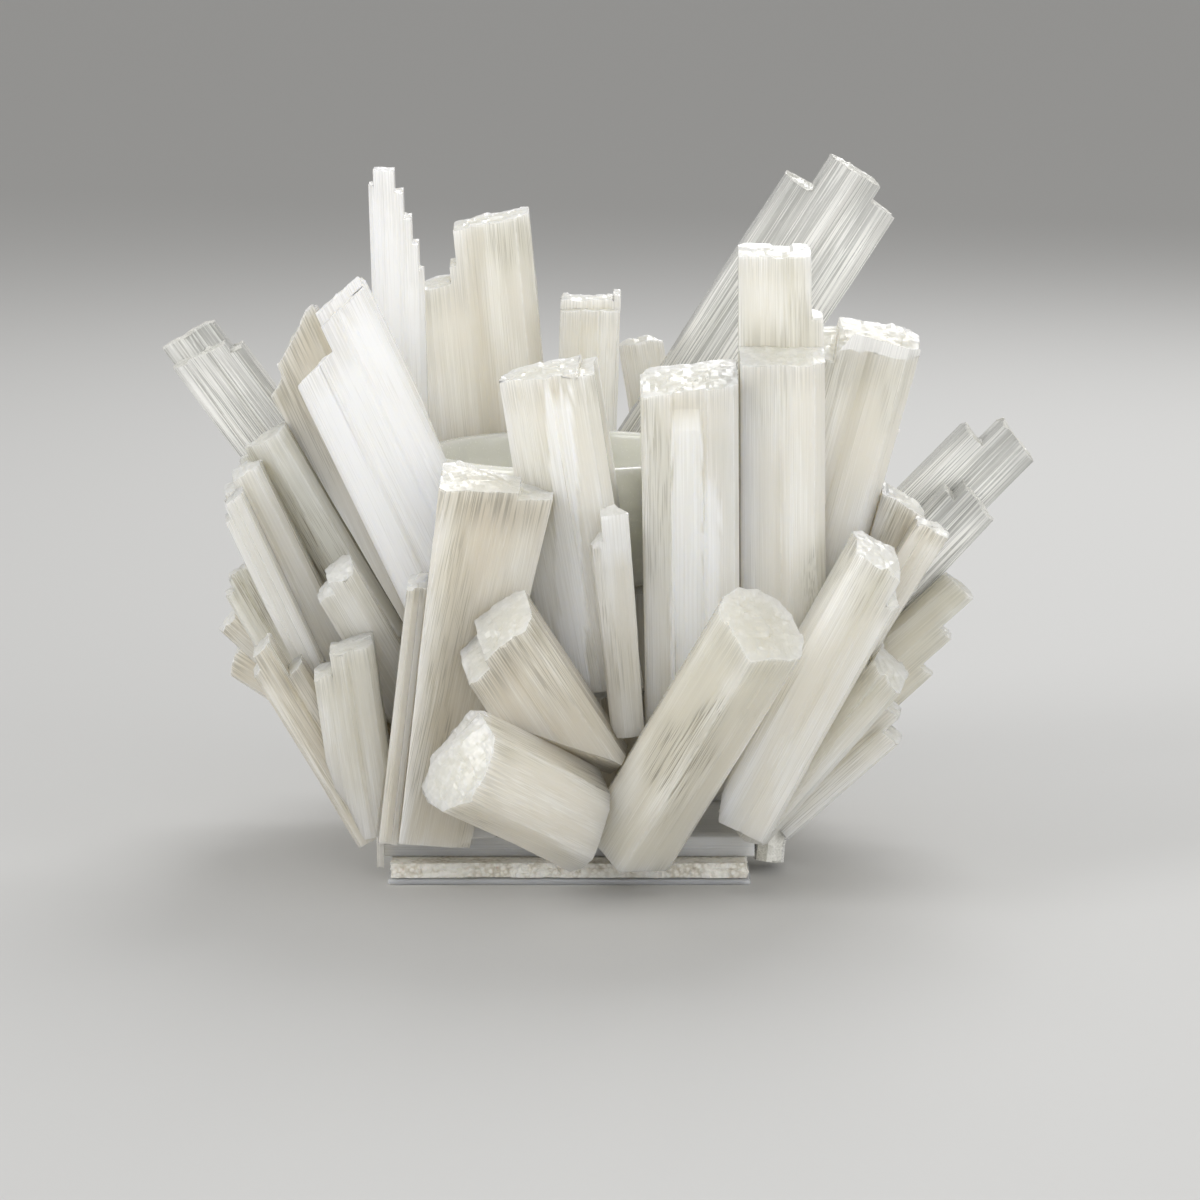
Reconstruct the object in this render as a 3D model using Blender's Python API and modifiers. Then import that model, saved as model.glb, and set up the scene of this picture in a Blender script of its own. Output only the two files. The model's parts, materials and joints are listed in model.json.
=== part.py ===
"""A selenite bowl: a smooth stone bowl on a square block, in a nest of split selenite logs.

The logs stand and lean outwards all round the bowl, on a square foot of selenite slabs. The origin is
on the underside of the foot, in its middle. The front is towards -Y.
"""

import math
import random
from dataclasses import dataclass

import bmesh
import bpy
import numpy as np
from mathutils import Matrix, Vector

# Sizes in the tables are in millimetres, and meshes are in metres.
MM = 0.001

# Clearance between neighbouring stones, where the glue lies.
GLUE_GAP = 0.3

# The square foot, from the floor up.
FOOT_SIDE = 148
PLATE_THICK = 2.5
CHIPS_THICK = 6
CHIPS_SETBACK = 1
SLAB_THICK = 8.5
SLAB_FRONT_LEDGE = 12
BLOCK_SIDE = 72

# The stone bowl.
BOWL_RIM_RADIUS = 62
BOWL_FOOT_RADIUS = 47
BOWL_HEIGHT = 52
BOWL_WALL = 7
BOWL_FLOOR = 8
BOWL_RIM_HEIGHT = 169
BOWL_FACETS = 40

CHIPS_BOTTOM = PLATE_THICK + GLUE_GAP
SLAB_BOTTOM = CHIPS_BOTTOM + CHIPS_THICK + GLUE_GAP
SLAB_TOP = SLAB_BOTTOM + SLAB_THICK
BOWL_BOTTOM = BOWL_RIM_HEIGHT - BOWL_HEIGHT

# Cross-sections of split logs, across the width and from front to back, each 1 x 1.
SECTIONS = {
    "block": (
        (-0.50, -0.38), (-0.40, -0.50), (-0.08, -0.50), (0.00, -0.46), (0.10, -0.50), (0.38, -0.50),
        (0.50, -0.30), (0.50, 0.36), (0.40, 0.50), (-0.36, 0.50), (-0.50, 0.40),
    ),
    "fluted": (
        (-0.50, -0.34), (-0.42, -0.48), (-0.28, -0.44), (-0.18, -0.50), (0.02, -0.50), (0.08, -0.43),
        (0.18, -0.50), (0.40, -0.47), (0.50, -0.28), (0.47, 0.10), (0.50, 0.38), (0.34, 0.50),
        (-0.10, 0.45), (-0.38, 0.50), (-0.50, 0.30),
    ),
    "keel": (
        (-0.50, -0.06), (-0.42, -0.30), (-0.10, -0.50), (0.08, -0.47), (0.40, -0.32), (0.50, -0.18),
        (0.50, 0.30), (0.36, 0.50), (-0.30, 0.50), (-0.50, 0.26),
    ),
    "plank": (
        (-0.50, -0.42), (-0.46, -0.50), (-0.20, -0.50), (-0.16, -0.44), (0.14, -0.44), (0.18, -0.50),
        (0.45, -0.50), (0.50, -0.40), (0.50, 0.44), (0.44, 0.50), (0.10, 0.50), (0.04, 0.44),
        (-0.45, 0.50), (-0.50, 0.42),
    ),
    "round_back": (
        (-0.50, -0.04), (-0.47, -0.12), (-0.08, -0.48), (-0.02, -0.50), (0.46, -0.16), (0.50, -0.08),
        (0.47, 0.16), (0.32, 0.36), (0.10, 0.49), (-0.14, 0.49), (-0.36, 0.36), (-0.48, 0.16),
    ),
}

# Colour, roughness and metallic value of each kind of stone.
FINISHES = {
    "milky_selenite": ((0.80, 0.79, 0.74), 0.42),
    "bright_selenite": ((0.92, 0.91, 0.89), 0.38),
    "cream_selenite": ((0.84, 0.80, 0.73), 0.45),
    "grey_selenite": ((0.66, 0.67, 0.62), 0.35),
    "clear_selenite": ((0.72, 0.73, 0.70), 0.22),
    "slab_selenite": ((0.70, 0.70, 0.64), 0.35),
    "crushed_selenite": ((0.88, 0.86, 0.81), 0.70),
    "bowl_stone": ((0.49, 0.49, 0.42), 0.30),
}


@dataclass(frozen=True)
class Ledge:
    """A strip along one side of a log that is broken off lower than the rest."""

    side: str
    share: float
    drop: float


@dataclass(frozen=True)
class Log:
    """One split log: its place, its size and how its upper end is broken."""

    name: str
    foot: tuple
    tip: tuple
    width: float
    depth: float
    section: str = "block"
    finish: str = "milky_selenite"
    root: float = 0
    roll: float = 0
    narrow: float = 1
    slope: tuple = (0, 0)
    dome: float = 1
    rough: float = 1
    ledges: tuple = ()


def left(share, drop):
    return Ledge("left", share, drop)


def right(share, drop):
    return Ledge("right", share, drop)


def front(share, drop):
    return Ledge("front", share, drop)


def back(share, drop):
    return Ledge("back", share, drop)


# The logs of the front, nearest first, from the foot's centre to the tip's. Each one keeps clear of
# those above it in the list by a flat cut, as it was ground to fit.
FRONT_LOGS = (
    Log("front_right_long", (24, -83, 19), (75, -138, 120), 38, 38, "round_back", "grey_selenite",
        roll=4, slope=(-3, 6), dome=4, rough=0.6),
    Log("front_low_left", (4, -88, 30), (-45, -137, 66), 40, 36, "keel", "milky_selenite",
        root=6, roll=-10, slope=(4, 2), dome=5, rough=1.6, ledges=(back(0.3, 5),)),
    Log("front_middle", (16, -82, 36), (-30, -112, 114), 36, 26, "block", "cream_selenite",
        root=10, roll=-4, slope=(6, 5), dome=3, rough=1.4, ledges=(left(0.3, 5),)),
    Log("front_thin_blade", (24, -92, 66), (15, -93, 159), 17, 10, "keel", "cream_selenite",
        narrow=0.8, slope=(4, 0), dome=9, rough=0.8, ledges=(left(0.35, 9),)),
    Log("front_left_blade", (-73, -76, 20), (-60, -84, 128), 8, 16, "plank", "cream_selenite",
        slope=(3, 2), dome=1, rough=0.8),
    Log("front_left_tall", (-57, -79, 20), (-27, -96, 169), 46, 32, "block", "cream_selenite",
        narrow=0.74, slope=(-2, 4), dome=3, rough=1.6, ledges=(right(0.32, 2),)),
    Log("centre_left_tall", (12, -72, 82), (-9, -72, 211), 39, 28, "fluted", "milky_selenite",
        roll=-6, slope=(2, 4), dome=1, rough=0.8, ledges=(right(0.16, 2),)),
    Log("centre_tall", (50, -70, 58), (48, -70, 208), 39, 30, "plank", "milky_selenite",
        slope=(5, 8), dome=1, rough=0.7),
    Log("right_leaning", (69, -84, 32), (127, -88, 139), 27, 24, "block", "milky_selenite",
        root=4, roll=10, slope=(-2, 6), dome=3, rough=1.2, ledges=(right(0.25, 12),)),
    Log("right_tall", (86, -62, 84), (84, -62, 255), 37, 32, "block", "milky_selenite",
        slope=(-1, 9), dome=1, rough=0.7, ledges=(front(0.5, 36), right(0.14, 25))),
    Log("right_frosted_tip", (72, -67, 25), (128, -74, 93), 24, 20, "fluted", "grey_selenite",
        root=6, slope=(-3, 7), dome=2, rough=1.5, ledges=(left(0.3, 6),)),
    Log("left_low_long", (-77, -50, 15), (-125, -50, 97), 20, 18, "fluted", "cream_selenite",
        slope=(5, 2), dome=2, rough=1, ledges=(right(0.35, 16), left(0.2, 5))),
)

# The logs behind them, left and right of the bowl.
SIDE_LOGS = (
    Log("right_rear_leaning", (91, -36, 103), (125, -30, 223), 42, 32, "block", "milky_selenite",
        root=12, slope=(5, 12), dome=7, rough=1.4, ledges=(left(0.16, 3),)),
    Log("left_bright_wide", (-44, -46, 113), (-102, -12, 228), 42, 30, "plank", "bright_selenite",
        root=6, slope=(12, 4), dome=1, rough=0.8, ledges=(left(0.45, 17), front(0.2, 5))),
    Log("left_inner_short", (-81, -63, 19), (-92, -63, 98), 26, 18, "fluted", "grey_selenite",
        slope=(3, 3), dome=2, rough=1, ledges=(left(0.3, 8),)),
    Log("left_sparkling", (-66, -36, 66), (-97, -58, 126), 20, 16, "keel", "milky_selenite",
        slope=(3, 4), dome=3, rough=1.3, ledges=(left(0.4, 6),)),
    Log("left_long_strip", (-74, -38, 14), (-139, -32, 153), 11, 15, "plank", "milky_selenite",
        slope=(2, 2), dome=1, rough=0.8, ledges=(left(0.25, 5),)),
    Log("left_grey_strip", (-92, -20, 70), (-137, -14, 163), 19, 18, "block", "milky_selenite",
        root=16, slope=(0, 3), dome=3, rough=1.2, ledges=(left(0.3, 4),)),
    Log("left_grey_upper", (-90, -10, 106), (-130, -2, 173), 28, 24, "block", "grey_selenite",
        root=22, slope=(2, 4), dome=1, rough=0.8, ledges=(left(0.25, 3),)),
    Log("left_cream_broken", (-68, -16, 106), (-118, 15, 211), 34, 26, "block", "cream_selenite",
        root=10, slope=(24, 4), dome=2, rough=1.6, ledges=(left(0.3, 6),)),
    Log("left_far_clear", (-99, 27, 131), (-161, 45, 213), 29, 24, "fluted", "clear_selenite",
        root=38, slope=(-5, 5), dome=1, rough=0.9, ledges=(front(0.5, 9), right(0.18, 14))),
    Log("right_middle_block", (100, -38, 78), (137, -31, 154), 38, 26, "block", "cream_selenite",
        root=10, slope=(-4, 3), dome=3, rough=1.2, ledges=(right(0.2, 6),)),
    Log("right_thin_strip", (98, -58, 65), (148, -55, 146), 14, 16, "plank", "cream_selenite",
        root=6, slope=(2, 2), dome=2, rough=1),
    Log("right_jagged", (108, -25, 58), (167, -20, 111), 27, 22, "keel", "grey_selenite",
        root=20, slope=(4, 2), dome=1, rough=1.2, ledges=(right(0.25, 36), right(0.5, 19))),
    Log("right_low_wide", (85, -46, 30), (131, -47, 71), 30, 22, "plank", "milky_selenite",
        root=6, slope=(8, 2), dome=2, rough=1, ledges=(right(0.3, 9),)),
    Log("right_second", (111, -10, 89), (169, 0, 150), 24, 22, "block", "clear_selenite",
        root=30, slope=(-3, 3), dome=1, rough=1, ledges=(left(0.25, 7),)),
    Log("right_far_clear", (118, 14, 105), (188, 31, 173), 31, 24, "block", "clear_selenite",
        root=36, slope=(-3, 3), dome=4, rough=1.3, ledges=(left(0.3, 13),)),
    Log("left_dark_short", (-101, -14, 51), (-140, -6, 118), 16, 14, "fluted", "grey_selenite",
        root=20, slope=(2, 2), dome=1, rough=1.6, ledges=(left(0.3, 5),)),
    Log("left_torn_upper", (-109, 8, 64), (-144, 14, 96), 16, 15, "keel", "cream_selenite",
        root=50, slope=(1, 1), dome=3, rough=1.8),
    Log("left_torn_lower", (-97, 24, 50), (-143, 34, 78), 23, 18, "keel", "cream_selenite",
        root=60, slope=(3, 1), dome=4, rough=1.8, ledges=(right(0.3, 8),)),
    Log("front_inner_left", (7, -47, 19), (-12, -47, 124), 38, 18, "block", "milky_selenite",
        slope=(3, 3), dome=2, rough=1.4, ledges=(right(0.35, 7),)),
    Log("front_inner_short", (30, -62, 19), (15, -60, 78), 34, 20, "block", "cream_selenite",
        slope=(-4, 2), dome=2, rough=1.2, ledges=(left(0.3, 9),)),
)

# The logs behind the bowl, as seen from the front.
BACK_LOGS = (
    Log("back_left_tall", (-29, 74, 100), (-44, 88, 256), 51, 30, "block", "milky_selenite",
        root=20, slope=(6, 4), dome=1, rough=0.8, ledges=(left(0.3, 22), left(0.36, 15))),
    Log("back_middle", (5, 71.5, 100), (9, 74.5, 226), 26, 22, "plank", "milky_selenite",
        root=20, slope=(1, 2), dome=0, rough=0.5, ledges=(left(0.86, 2), front(0.3, 6))),
    Log("left_thin_shard", (-69, 34, 112), (-74, 34, 283), 22, 14, "fluted", "bright_selenite",
        root=30, slope=(0, 1), dome=0, rough=0.5,
        ledges=(right(0.08, 42), right(0.2, 31), right(0.34, 20), right(0.5, 9), left(0.1, 6))),
    Log("back_long_diagonal", (18, 100, 113), (124, 110, 278), 50, 28, "fluted", "clear_selenite",
        root=36, slope=(0, 2), dome=1, rough=1.6, ledges=(left(0.28, 17), right(0.24, 8))),
    Log("back_small_round", (44, 123, 110), (30, 125, 202), 20, 16, "keel", "milky_selenite",
        root=20, dome=6, rough=0.6),
)


@dataclass(frozen=True)
class Spray:
    """A log that leans straight out from the middle, at a bearing from +X towards +Y."""

    bearing: float
    inner: float
    low: float
    outer: float
    high: float
    width: float
    depth: float
    section: str
    finish: str


# The two tiers of logs that close the back, which lean straight out.
BACK_SPRAYS = (
    Spray(28, 66, 66, 144, 176, 34, 26, "block", "milky_selenite"),
    Spray(151, 66, 60, 134, 160, 30, 24, "fluted", "milky_selenite"),
    Spray(50, 66, 60, 140, 168, 36, 26, "plank", "bright_selenite"),
    Spray(133, 66, 64, 140, 192, 36, 28, "block", "cream_selenite"),
    Spray(110, 66, 60, 142, 170, 34, 26, "keel", "milky_selenite"),
    Spray(70, 68, 24, 150, 104, 34, 26, "block", "milky_selenite"),
    Spray(14, 72, 24, 154, 92, 30, 24, "fluted", "milky_selenite"),
    Spray(168, 70, 34, 134, 110, 28, 24, "block", "grey_selenite"),
    Spray(34, 70, 24, 156, 106, 34, 26, "block", "cream_selenite"),
    Spray(52, 70, 24, 160, 84, 34, 26, "fluted", "milky_selenite"),
    Spray(92, 68, 24, 160, 78, 36, 26, "block", "milky_selenite"),
    Spray(118, 70, 24, 158, 104, 34, 26, "plank", "cream_selenite"),
    Spray(146, 70, 24, 150, 98, 34, 26, "block", "milky_selenite"),
)

# Small stones beside and in front of the foot.
FOOT_STONES = (
    Log("foot_front_wedge", (-74, -66, 21), (-30, -65, 20.5), 6.4, 20, "plank", "slab_selenite",
        dome=0, rough=0.3),
    Log("foot_side_lump", (82, -47, 4), (84, -44, 21), 13, 22, "keel", "clear_selenite",
        dome=2, rough=1.2),
    Log("foot_left_chip", (-77, -60, 6), (-77, -60, 20), 3.4, 16, "plank", "milky_selenite",
        dome=1, rough=0.5),
)


class Solid:
    """A finished stone, as later logs have to clear it: its corners, walls and main directions."""

    def __init__(self, bm, frame, least_share=0.01):
        self.corners = corners_of(bm)
        self.low = self.corners.min(axis=0)
        self.high = self.corners.max(axis=0)
        self.walls = walls_of(bm, least_share)
        self.frame = frame


def corners_of(bm):
    return np.array([vertex.co for vertex in bm.verts])


def walls_of(bm, least_share=0.01):
    """The outward directions of the faces that aren't small, each one once."""
    whole = sum(face.calc_area() for face in bm.faces)
    large = [face.normal for face in bm.faces if face.calc_area() > least_share * whole]
    return np.unique(np.round(np.array(large), 3), axis=0)


def grow(bm, faces, lift):
    """Extrudes the faces up the log, and returns the new end faces."""
    is_foot = len(faces) == len(bm.faces)
    made = bmesh.ops.extrude_face_region(bm, geom=faces)["geom"]
    corners = [item for item in made if isinstance(item, bmesh.types.BMVert)]
    bmesh.ops.translate(bm, verts=corners, vec=(0, 0, lift))
    if not is_foot:
        bmesh.ops.delete(bm, geom=faces, context="FACES")
    return [item for item in made if isinstance(item, bmesh.types.BMFace)]


def split(bm, faces, point, normal):
    """Divides the end faces along a line, and returns them all."""
    around = {item for face in faces for item in (*face.verts, *face.edges, face)}
    level = faces[0].calc_center_median().z
    bmesh.ops.bisect_plane(bm, geom=list(around), dist=1e-6, plane_co=point, plane_no=normal)
    return [face for face in bm.faces if all(abs(v.co.z - level) < 1e-6 for v in face.verts)]


def ledge_line(ledge, width, depth):
    """Where a ledge starts: a point on its edge, and the direction that points into the ledge."""
    across = {
        "left": ((ledge.share - 0.5) * width, 0, (-1, 0, 0)),
        "right": ((0.5 - ledge.share) * width, 0, (1, 0, 0)),
        "front": (0, (ledge.share - 0.5) * depth, (0, -1, 0)),
        "back": (0, (0.5 - ledge.share) * depth, (0, 1, 0)),
    }
    x, y, into = across[ledge.side]
    return Vector((x, y, 0)), Vector(into)


def drop_at(place, lines):
    """How far the end is broken off at a place on it."""
    drops = [drop for point, into, drop in lines if (place - point).dot(into) > 0]
    return max(drops, default=0)


def upright_log(log, length):
    """The log standing on its foot at the origin, with its broken upper end."""
    width = log.width * MM
    depth = log.depth * MM
    outline = SECTIONS[log.section]
    bm = bmesh.new()
    bmesh.ops.create_circle(bm, cap_ends=True, radius=width, segments=len(outline))
    bm.faces.ensure_lookup_table()
    foot = bm.faces[0]
    for vertex, (across, inwards) in zip(foot.verts, outline):
        vertex.co = (across * width, inwards * depth, 0)

    lines = []
    for ledge in log.ledges:
        point, into = ledge_line(ledge, width, depth)
        lines.append((point, into, ledge.drop * MM))
    levels = sorted({drop for _, _, drop in lines}, reverse=True)
    lowest = levels[0] if levels else 0

    chance = random.Random(log.name)
    top = [foot]
    for share in (0.45, 0.55):
        top = grow(bm, top, share * (length - lowest))
        shift = Vector((chance.uniform(-0.02, 0.02) * width, chance.uniform(-0.02, 0.02) * depth, 0))
        bmesh.ops.translate(bm, verts=list({v for face in top for v in face.verts}), vec=shift)
    for point, into, _ in lines:
        top = split(bm, top, point, into)
    for share in (-0.22, 0.2):
        top = split(bm, top, Vector((share * width, 0, 0)), Vector((1, 0, 0)))
    top = split(bm, top, Vector((0, 0.06 * depth, 0)), Vector((0, 1, 0)))

    ends = list(top)
    for nth, level in enumerate(levels):
        rest = levels[nth + 1] if nth + 1 < len(levels) else 0
        higher = [f for f in top if drop_at(flat(f.calc_center_median()), lines) < level - 1e-9]
        if not higher:
            break
        kept = [face for face in ends if face not in higher]
        top = grow(bm, higher, level - rest)
        ends = kept + top
    break_end(log, ends, width, depth, chance)
    return bm


def flat(point):
    return Vector((point.x, point.y, 0))


def break_end(log, ends, width, depth, chance):
    """Tilts, rounds and roughens the upper end."""
    corners = sorted({v for face in ends for v in face.verts}, key=lambda v: v.index)
    across_rise, depth_rise = log.slope
    for vertex in corners:
        across = vertex.co.x / width
        inwards = vertex.co.y / depth
        lift = across_rise * across + depth_rise * inwards
        lift -= log.dome * 2 * (across * across + inwards * inwards)
        lift += chance.uniform(-log.rough, log.rough) * 0.7
        vertex.co.z += lift * MM


def frame_of(log):
    """The log's width, depth and length directions: its width lies square to the view from the front."""
    length_way = (Vector(log.tip) - Vector(log.foot)).normalized()
    width_way = Vector((0, 1, 0)).cross(length_way).normalized()
    depth_way = length_way.cross(width_way)
    turn = Matrix((width_way, depth_way, length_way)).transposed()
    return turn @ Matrix.Rotation(math.radians(log.roll), 3, "Z")


def taper(bm, narrow, length):
    """Makes the foot of the log narrower, or wider, than its tip."""
    for vertex in bm.verts:
        share = min(1, max(0, vertex.co.z / length))
        size = narrow + (1 - narrow) * share
        vertex.co.x *= size
        vertex.co.y *= size


def sample_points(log, length, place):
    """Points through the log and what losing each one costs: most at the tip and on the outer side."""
    points = []
    costs = []
    for along in np.linspace(0.02, 0.98, 25):
        for across in (-0.42, 0, 0.42):
            for inwards in (-0.42, 0, 0.42):
                local = Vector((across * log.width * MM, inwards * log.depth * MM, along * length))
                point = place @ local
                seen = (along * length - log.root * MM) / (length - log.root * MM)
                reach = math.hypot(point.x, point.y) / (100 * MM)
                costs.append((0.2 + seen * seen if seen > 0 else 0.05) * (0.5 + reach))
                points.append(point)
    return np.array(points), np.array(costs)


def side_directions(solid, bm, frame):
    """The directions in which two stones with flat faces can be told apart."""
    crossed = []
    for mine in frame.T:
        for theirs in solid.frame.T:
            cross = np.cross(mine, theirs)
            size = np.linalg.norm(cross)
            if size > 0.1:
                crossed += [cross / size, -cross / size]
    return np.vstack([solid.walls, -walls_of(bm), *crossed])


def flat_cut(solid, bm, frame, points, costs):
    """The flat cut that clears the solid and costs least, or None where the log is already clear."""
    corners = corners_of(bm)
    gap = GLUE_GAP * MM
    if (corners.min(axis=0) > solid.high + gap).any() or (corners.max(axis=0) < solid.low - gap).any():
        return None
    ways = side_directions(solid, bm, frame)
    clear_from = (solid.corners @ ways.T).max(axis=0) + gap
    if ((corners @ ways.T).min(axis=0) > clear_from - 0.02 * MM).any():
        return None
    lost = costs @ (points @ ways.T < clear_from)
    best = int(np.argmin(lost))
    return ways[best], clear_from[best]


def slice_off(bm, way, level):
    """Cuts away what lies below the level in that direction, and closes the cut."""
    everything = [*bm.verts, *bm.edges, *bm.faces]
    bmesh.ops.bisect_plane(
        bm, geom=everything, dist=1e-6, plane_co=Vector(way * level), plane_no=Vector(way), clear_inner=True
    )
    bmesh.ops.holes_fill(bm, edges=[edge for edge in bm.edges if edge.is_boundary], sides=0)
    keep_main_body(bm)
    bmesh.ops.remove_doubles(bm, verts=bm.verts[:], dist=0.03 * MM)
    bmesh.ops.dissolve_degenerate(bm, dist=0.02 * MM, edges=bm.edges[:])
    bmesh.ops.recalc_face_normals(bm, faces=bm.faces[:])


def keep_main_body(bm):
    """Deletes chips that a cut has parted from the log."""
    bodies = []
    waiting = set(bm.faces)
    while waiting:
        body = set()
        edge_of_body = [waiting.pop()]
        while edge_of_body:
            face = edge_of_body.pop()
            body.add(face)
            for edge in face.edges:
                for other in edge.link_faces:
                    if other in waiting:
                        waiting.remove(other)
                        edge_of_body.append(other)
        bodies.append(body)
    bodies.sort(key=len)
    chips = [face for body in bodies[:-1] for face in body]
    if chips:
        bmesh.ops.delete(bm, geom=chips, context="FACES")


def finish_of(name):
    """The material of one kind of stone."""
    material = bpy.data.materials.get(name)
    if material:
        return material
    colour, roughness = FINISHES[name]
    material = bpy.data.materials.new(name)
    material.use_nodes = True
    shader = material.node_tree.nodes["Principled BSDF"]
    shader.inputs["Base Color"].default_value = (*colour, 1)
    shader.inputs["Roughness"].default_value = roughness
    shader.inputs["Metallic"].default_value = 0
    material.diffuse_color = (*colour, 1)
    return material


def add_object(name, mesh, finish, parts):
    piece = bpy.data.objects.new(name, mesh)
    piece.data.materials.append(finish_of(finish))
    parts.objects.link(piece)
    return piece


def mesh_from(bm, name):
    bmesh.ops.recalc_face_normals(bm, faces=bm.faces[:])
    mesh = bpy.data.meshes.new(name)
    bm.to_mesh(mesh)
    bm.free()
    return mesh


def add_log(log, solids, parts):
    """Builds a log in place, cuts it clear of the stones already there, and adds it to them."""
    frame = frame_of(log)
    tip = Vector(log.tip) * MM
    start = Vector(log.foot) * MM - frame.col[2] * log.root * MM
    length = (tip - start).length
    bm = upright_log(log, length)
    taper(bm, log.narrow, length)
    place = Matrix.Translation(start) @ frame.to_4x4()
    bmesh.ops.transform(bm, matrix=place, verts=bm.verts[:])
    bmesh.ops.recalc_face_normals(bm, faces=bm.faces[:])

    ways = np.array(frame)
    points, costs = sample_points(log, length, place)
    for solid in solids:
        cut = flat_cut(solid, bm, ways, points, costs)
        if cut:
            way, level = cut
            slice_off(bm, way, level)
            left_over = points @ way >= level
            points, costs = points[left_over], costs[left_over]
    solids.append(Solid(bm, ways))
    add_object(log.name, mesh_from(bm, log.name), log.finish, parts)


def spray_log(nth, spray):
    """The log of one place in the tiers at the back."""
    bearing = math.radians(spray.bearing)
    outwards = Vector((math.cos(bearing), math.sin(bearing), 0))
    foot = outwards * spray.inner + Vector((0, 0, spray.low))
    tip = outwards * spray.outer + Vector((0, 0, spray.high))
    chance = random.Random(f"spray {nth}")
    return Log(
        f"back_spray_{nth:02d}", tuple(foot), tuple(tip), spray.width, spray.depth, spray.section,
        spray.finish, root=20, roll=chance.uniform(-20, 20),
        slope=(chance.uniform(-5, 5), chance.uniform(-5, 5)), dome=chance.uniform(1, 3), rough=1.2,
        ledges=(chance.choice((left, right, back))(chance.uniform(0.25, 0.45), chance.uniform(4, 18)),),
    )


def add_box(name, low, high, finish, solids, parts, edge=0.5):
    """A sawn slab or block between two corners, with its edges broken."""
    low = Vector(low) * MM
    high = Vector(high) * MM
    bm = bmesh.new()
    bmesh.ops.create_cube(bm, size=1)
    bmesh.ops.scale(bm, vec=high - low, verts=bm.verts[:])
    bmesh.ops.translate(bm, vec=(low + high) / 2, verts=bm.verts[:])
    bmesh.ops.bevel(
        bm, geom=bm.edges[:], offset=edge * MM, affect="EDGES", segments=1, profile=0.5, material=-1
    )
    solids.append(Solid(bm, np.eye(3)))
    return add_object(name, mesh_from(bm, name), finish, parts)


def add_chip_bed(solids, parts, points_a_side=14, layers=3):
    """The bed of crushed selenite between the plate and the slab, with an uneven rim."""
    chance = random.Random("chips")
    half = (FOOT_SIDE / 2 - CHIPS_SETBACK) * MM
    bm = bmesh.new()
    bmesh.ops.create_circle(bm, cap_ends=True, radius=half, segments=4 * points_a_side)
    for vertex in bm.verts:
        reach = max(abs(vertex.co.x), abs(vertex.co.y))
        vertex.co *= half / reach
    bm.faces.ensure_lookup_table()
    top = [bm.faces[0]]
    for _ in range(layers):
        top = grow(bm, top, CHIPS_THICK * MM / layers)
    for vertex in bm.verts:
        inwards = 1 - chance.uniform(0, 1.6) * MM / half
        vertex.co.x *= inwards
        vertex.co.y *= inwards
    bmesh.ops.translate(bm, vec=(0, 0, CHIPS_BOTTOM * MM), verts=bm.verts[:])
    bmesh.ops.recalc_face_normals(bm, faces=bm.faces[:])
    solids.append(Solid(bm, np.eye(3)))
    add_object("chip_bed", mesh_from(bm, "chip_bed"), "crushed_selenite", parts)


def bowl_profile():
    """Half of the bowl's section: down its outer side, and back up its inner side."""
    inner_rim = BOWL_RIM_RADIUS - BOWL_WALL
    inner_floor = BOWL_BOTTOM + BOWL_FLOOR
    outer = (
        (BOWL_RIM_RADIUS - 2, BOWL_RIM_HEIGHT),
        (BOWL_RIM_RADIUS, BOWL_RIM_HEIGHT - 2),
        (BOWL_RIM_RADIUS - 1, BOWL_BOTTOM + 0.45 * BOWL_HEIGHT),
        (BOWL_RIM_RADIUS - 5, BOWL_BOTTOM + 0.17 * BOWL_HEIGHT),
        (BOWL_FOOT_RADIUS + 4, BOWL_BOTTOM + 2),
        (BOWL_FOOT_RADIUS, BOWL_BOTTOM),
        (0, BOWL_BOTTOM),
    )
    inner = (
        (0, inner_floor),
        (0.6 * inner_rim, inner_floor + 1),
        (0.86 * inner_rim, inner_floor + 0.16 * BOWL_HEIGHT),
        (0.97 * inner_rim, inner_floor + 0.42 * BOWL_HEIGHT),
        (inner_rim, BOWL_RIM_HEIGHT - 2),
        (inner_rim + 2, BOWL_RIM_HEIGHT),
    )
    return (*outer, *inner)


def add_bowl(solids, parts):
    """The turned stone bowl."""
    profile = bowl_profile()
    mesh = bpy.data.meshes.new("inner_bowl")
    count = len(profile)
    mesh.from_pydata(
        [(radius * MM, 0, height * MM) for radius, height in profile],
        [(nth, nth + 1) for nth in range(count - 1)] + [(count - 1, 0)],
        [],
    )
    bowl = add_object("inner_bowl", mesh, "bowl_stone", parts)
    turn = bowl.modifiers.new("turn", "SCREW")
    turn.steps = BOWL_FACETS
    turn.render_steps = BOWL_FACETS
    turn.use_merge_vertices = True
    turn.merge_threshold = 0.00005
    turn.use_normal_calculate = True
    bpy.context.view_layer.update()
    turned = bmesh.new()
    turned.from_object(bowl, bpy.context.evaluated_depsgraph_get())
    solids.append(Solid(turned, np.eye(3), least_share=0.0005))
    turned.free()


def clear_scene():
    for item in list(bpy.data.objects):
        bpy.data.objects.remove(item)


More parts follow.
